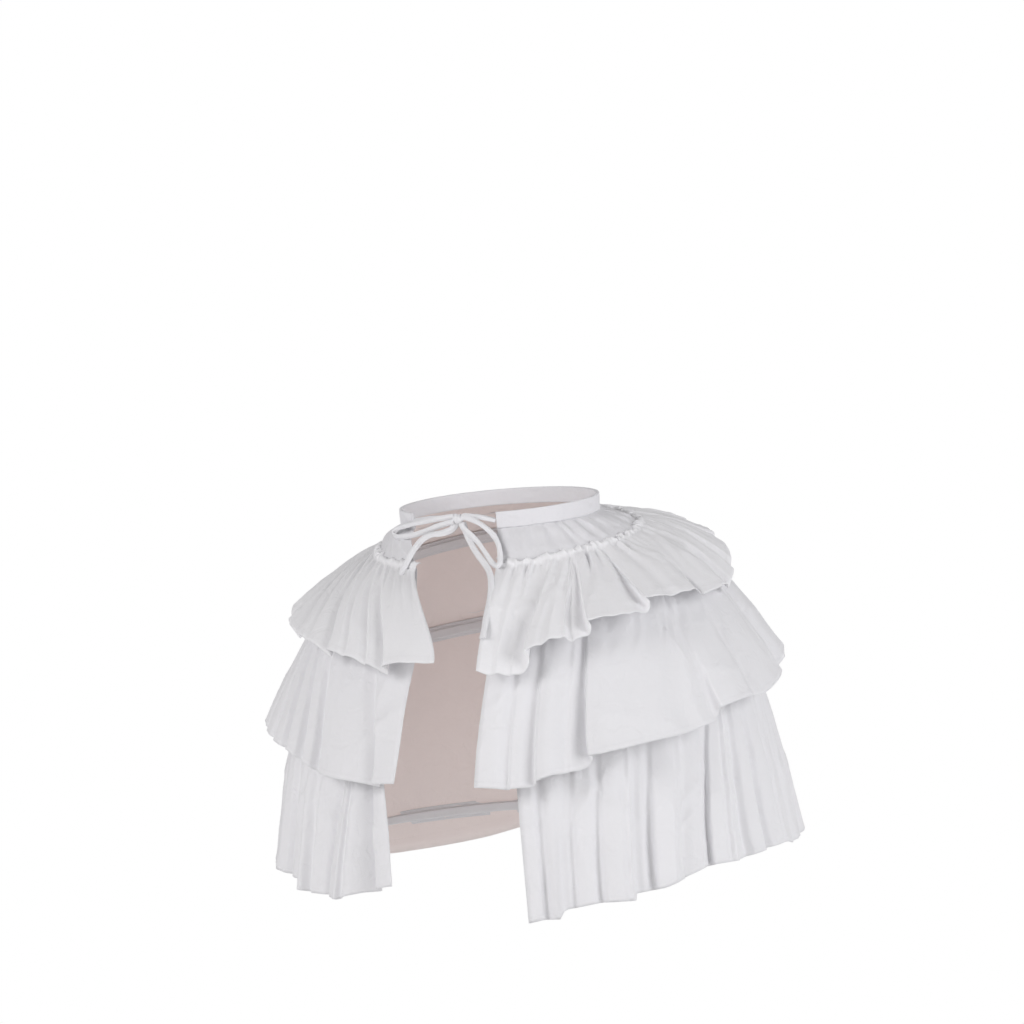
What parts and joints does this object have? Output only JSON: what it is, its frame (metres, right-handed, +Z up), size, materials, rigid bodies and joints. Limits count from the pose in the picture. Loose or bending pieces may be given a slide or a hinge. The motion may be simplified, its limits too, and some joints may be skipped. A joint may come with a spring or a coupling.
{
  "type": "pannier",
  "caption": "White cotton pannier overskirt, open at the front, with gathered tiers on a hooped bell and a tape-tied waistband.",
  "frame": {"origin": "middle of the waist, level with the top edge of the waistband", "axes": "+Z up along the body, +X to the wearer's left, the wearer faces -Y"},
  "size_m": [0.6487, 0.6449, 0.4611],
  "materials": {
    "cotton": "plain-weave white cotton, crisp",
    "casing_tape": "woven cotton tape",
    "tie_tape": "self-fabric tape, pressed",
    "spring_steel": "flat spring wire",
    "dipped_tip": "dipped end cap"
  },
  "bodies": {
    "root": {"waistband": "cotton", "base_skirt": "cotton", "ruffle_upper": "cotton", "ruffle_middle": "cotton", "ruffle_lower": "cotton", "casing_upper": "casing_tape", "casing_middle": "casing_tape", "casing_lower": "casing_tape", "tie_left": "tie_tape", "tie_right": "tie_tape", "bow_knot": "tie_tape", "bow_loop_left": "tie_tape", "bow_loop_right": "tie_tape", "tie_tail_left": "tie_tape", "tie_tail_right": "tie_tape", "hoop_upper": "spring_steel", "hoop_middle": "spring_steel", "hoop_lower": "spring_steel", "hoop_tips": "dipped_tip"}
  },
  "joints": []
}
